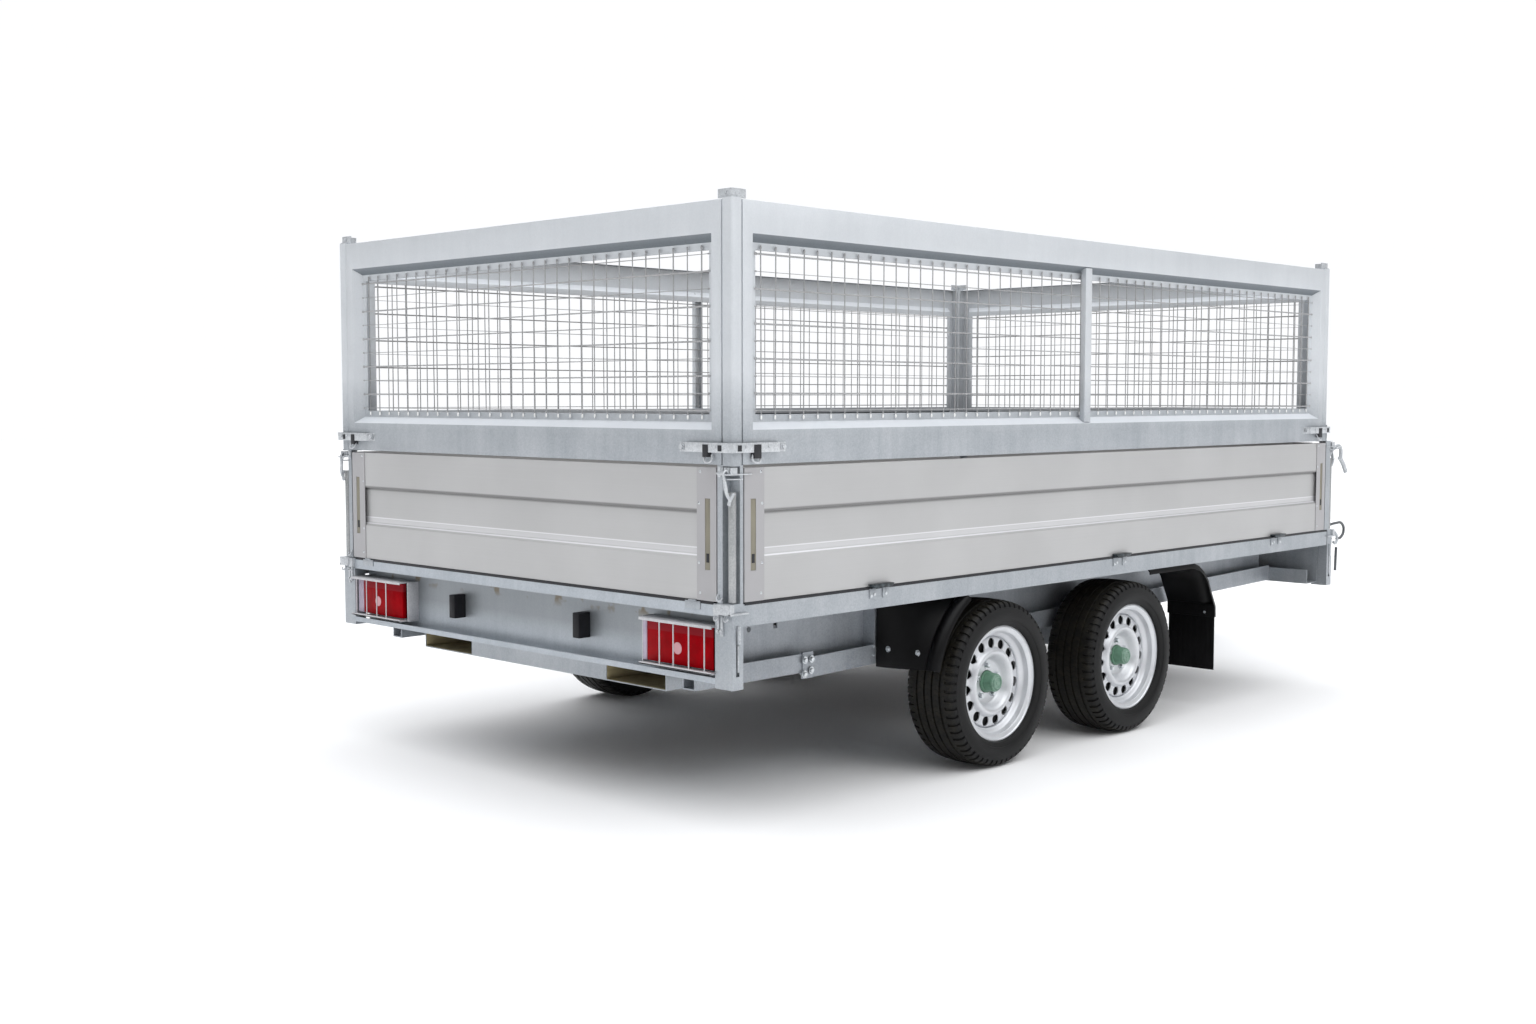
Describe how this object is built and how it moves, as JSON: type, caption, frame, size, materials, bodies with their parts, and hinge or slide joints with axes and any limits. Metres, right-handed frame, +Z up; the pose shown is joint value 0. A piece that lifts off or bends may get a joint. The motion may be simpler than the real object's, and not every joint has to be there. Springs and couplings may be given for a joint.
{
  "type": "utility trailer",
  "caption": "Flatbed utility trailer on close-coupled wheels, with fold-down sides, a mesh cage above them, an overrun drawbar and a jockey wheel.",
  "frame": {"origin": "on the ground, below the middle of the trailer's overall length and width", "axes": "+X the trailer's right side, +Y forwards to the drawbar, +Z up"},
  "size_m": [1.926, 4.8697, 1.694],
  "materials": {
    "galvanised_steel": "hot-dip galvanised",
    "wheel_steel": "satin silver",
    "dark_steel": "satin",
    "green_hub": "gloss",
    "anodised_aluminium": "satin anodised",
    "deck_wood": "phenolic film",
    "cap_plastic": "matte",
    "black_plastic": "matte",
    "lamp_housing": "matte",
    "lamp_lens": "gloss",
    "tyre_rubber": "matte"
  },
  "bodies": {
    "trailer": {"chassis_beams": "galvanised_steel", "cross_members": "galvanised_steel", "side_rails": "galvanised_steel", "rear_crossbeam": "galvanised_steel", "front_crossbeam": "galvanised_steel", "corner_pockets": "galvanised_steel", "corner_stakes": "galvanised_steel", "stake_latches": "galvanised_steel", "ramp_channels": "galvanised_steel", "cage_posts": "galvanised_steel", "cage_brackets": "galvanised_steel", "cage_panel_rear": "galvanised_steel", "cage_panel_front": "galvanised_steel", "cage_panel_right": "galvanised_steel", "cage_panel_left": "galvanised_steel", "mesh_level_wires": "galvanised_steel", "axle_rear": "galvanised_steel", "axle_front": "galvanised_steel", "lamp_guards": "galvanised_steel", "drawbar": "galvanised_steel", "coupling_head": "galvanised_steel", "brake_lever": "galvanised_steel", "jockey_clamp": "galvanised_steel", "jockey_tube": "galvanised_steel", "deck_board": "deck_wood", "hinge_brackets": "dark_steel", "overrun_unit": "black_plastic", "mudguards": "black_plastic", "mud_flaps": "black_plastic", "lamp_housings": "lamp_housing", "plate_lamps": "lamp_housing", "lamp_lenses": "lamp_lens"},
    "wheel_rear_right": {"tyre_rear_right": "tyre_rubber", "rim_rear_right": "wheel_steel", "hub_rear_right": "green_hub"},
    "wheel_rear_left": {"tyre_rear_left": "tyre_rubber", "rim_rear_left": "wheel_steel", "hub_rear_left": "green_hub"},
    "wheel_front_right": {"tyre_front_right": "tyre_rubber", "rim_front_right": "wheel_steel", "hub_front_right": "green_hub"},
    "wheel_front_left": {"tyre_front_left": "tyre_rubber", "rim_front_left": "wheel_steel", "hub_front_left": "green_hub"},
    "dropside_right": {"dropside_right": "anodised_aluminium", "end_caps_right": "cap_plastic", "hinge_leaves_right": "dark_steel"},
    "dropside_left": {"dropside_left": "anodised_aluminium", "end_caps_left": "cap_plastic", "hinge_leaves_left": "dark_steel"},
    "dropside_rear": {"dropside_rear": "anodised_aluminium", "end_caps_rear": "cap_plastic", "hinge_leaves_rear": "dark_steel"},
    "dropside_front": {"dropside_front": "anodised_aluminium", "end_caps_front": "cap_plastic", "hinge_leaves_front": "dark_steel"},
    "jockey_leg": {"jockey_leg": "galvanised_steel"},
    "jockey_fork": {"jockey_fork": "galvanised_steel"},
    "jockey_wheel": {"jockey_wheel": "tyre_rubber"}
  },
  "joints": [
    {"name": "wheel_rear_right_roll", "type": "hinge", "parent": "trailer", "child": "wheel_rear_right", "pos_m": [0.86215, -1.249, 0.2625], "axis": [1, 0, 0], "continuous": true},
    {"name": "wheel_rear_left_roll", "type": "hinge", "parent": "trailer", "child": "wheel_rear_left", "pos_m": [-0.86215, -1.249, 0.2625], "axis": [1, 0, 0], "continuous": true},
    {"name": "wheel_front_right_roll", "type": "hinge", "parent": "trailer", "child": "wheel_front_right", "pos_m": [0.86215, -0.503, 0.2625], "axis": [1, 0, 0], "continuous": true},
    {"name": "wheel_front_left_roll", "type": "hinge", "parent": "trailer", "child": "wheel_front_left", "pos_m": [-0.86215, -0.503, 0.2625], "axis": [1, 0, 0], "continuous": true},
    {"name": "dropside_right_fold", "type": "hinge", "parent": "trailer", "child": "dropside_right", "pos_m": [0.956, 0, 0.61], "axis": [0, 1, 0], "range_deg": [0, 180]},
    {"name": "dropside_left_fold", "type": "hinge", "parent": "trailer", "child": "dropside_left", "pos_m": [-0.956, 0, 0.61], "axis": [0, -1, 0], "range_deg": [0, 180]},
    {"name": "dropside_rear_fold", "type": "hinge", "parent": "trailer", "child": "dropside_rear", "pos_m": [0, -2.437, 0.61], "axis": [1, 0, 0], "range_deg": [0, 180]},
    {"name": "dropside_front_fold", "type": "hinge", "parent": "trailer", "child": "dropside_front", "pos_m": [0, 0.982, 0.61], "axis": [-1, 0, 0], "range_deg": [0, 120]},
    {"name": "jockey_leg_slide", "type": "slide", "parent": "trailer", "child": "jockey_leg", "axis": [0, 0, 1], "range_m": [-0.1, 0.12]},
    {"name": "jockey_fork_swivel", "type": "hinge", "parent": "jockey_leg", "child": "jockey_fork", "pos_m": [-0.13, 1.765, 0.238], "axis": [0, 0, 1], "continuous": true},
    {"name": "jockey_wheel_roll", "type": "hinge", "parent": "jockey_fork", "child": "jockey_wheel", "pos_m": [-0.13, 1.73, 0.1], "axis": [1, 0, 0], "continuous": true}
  ]
}
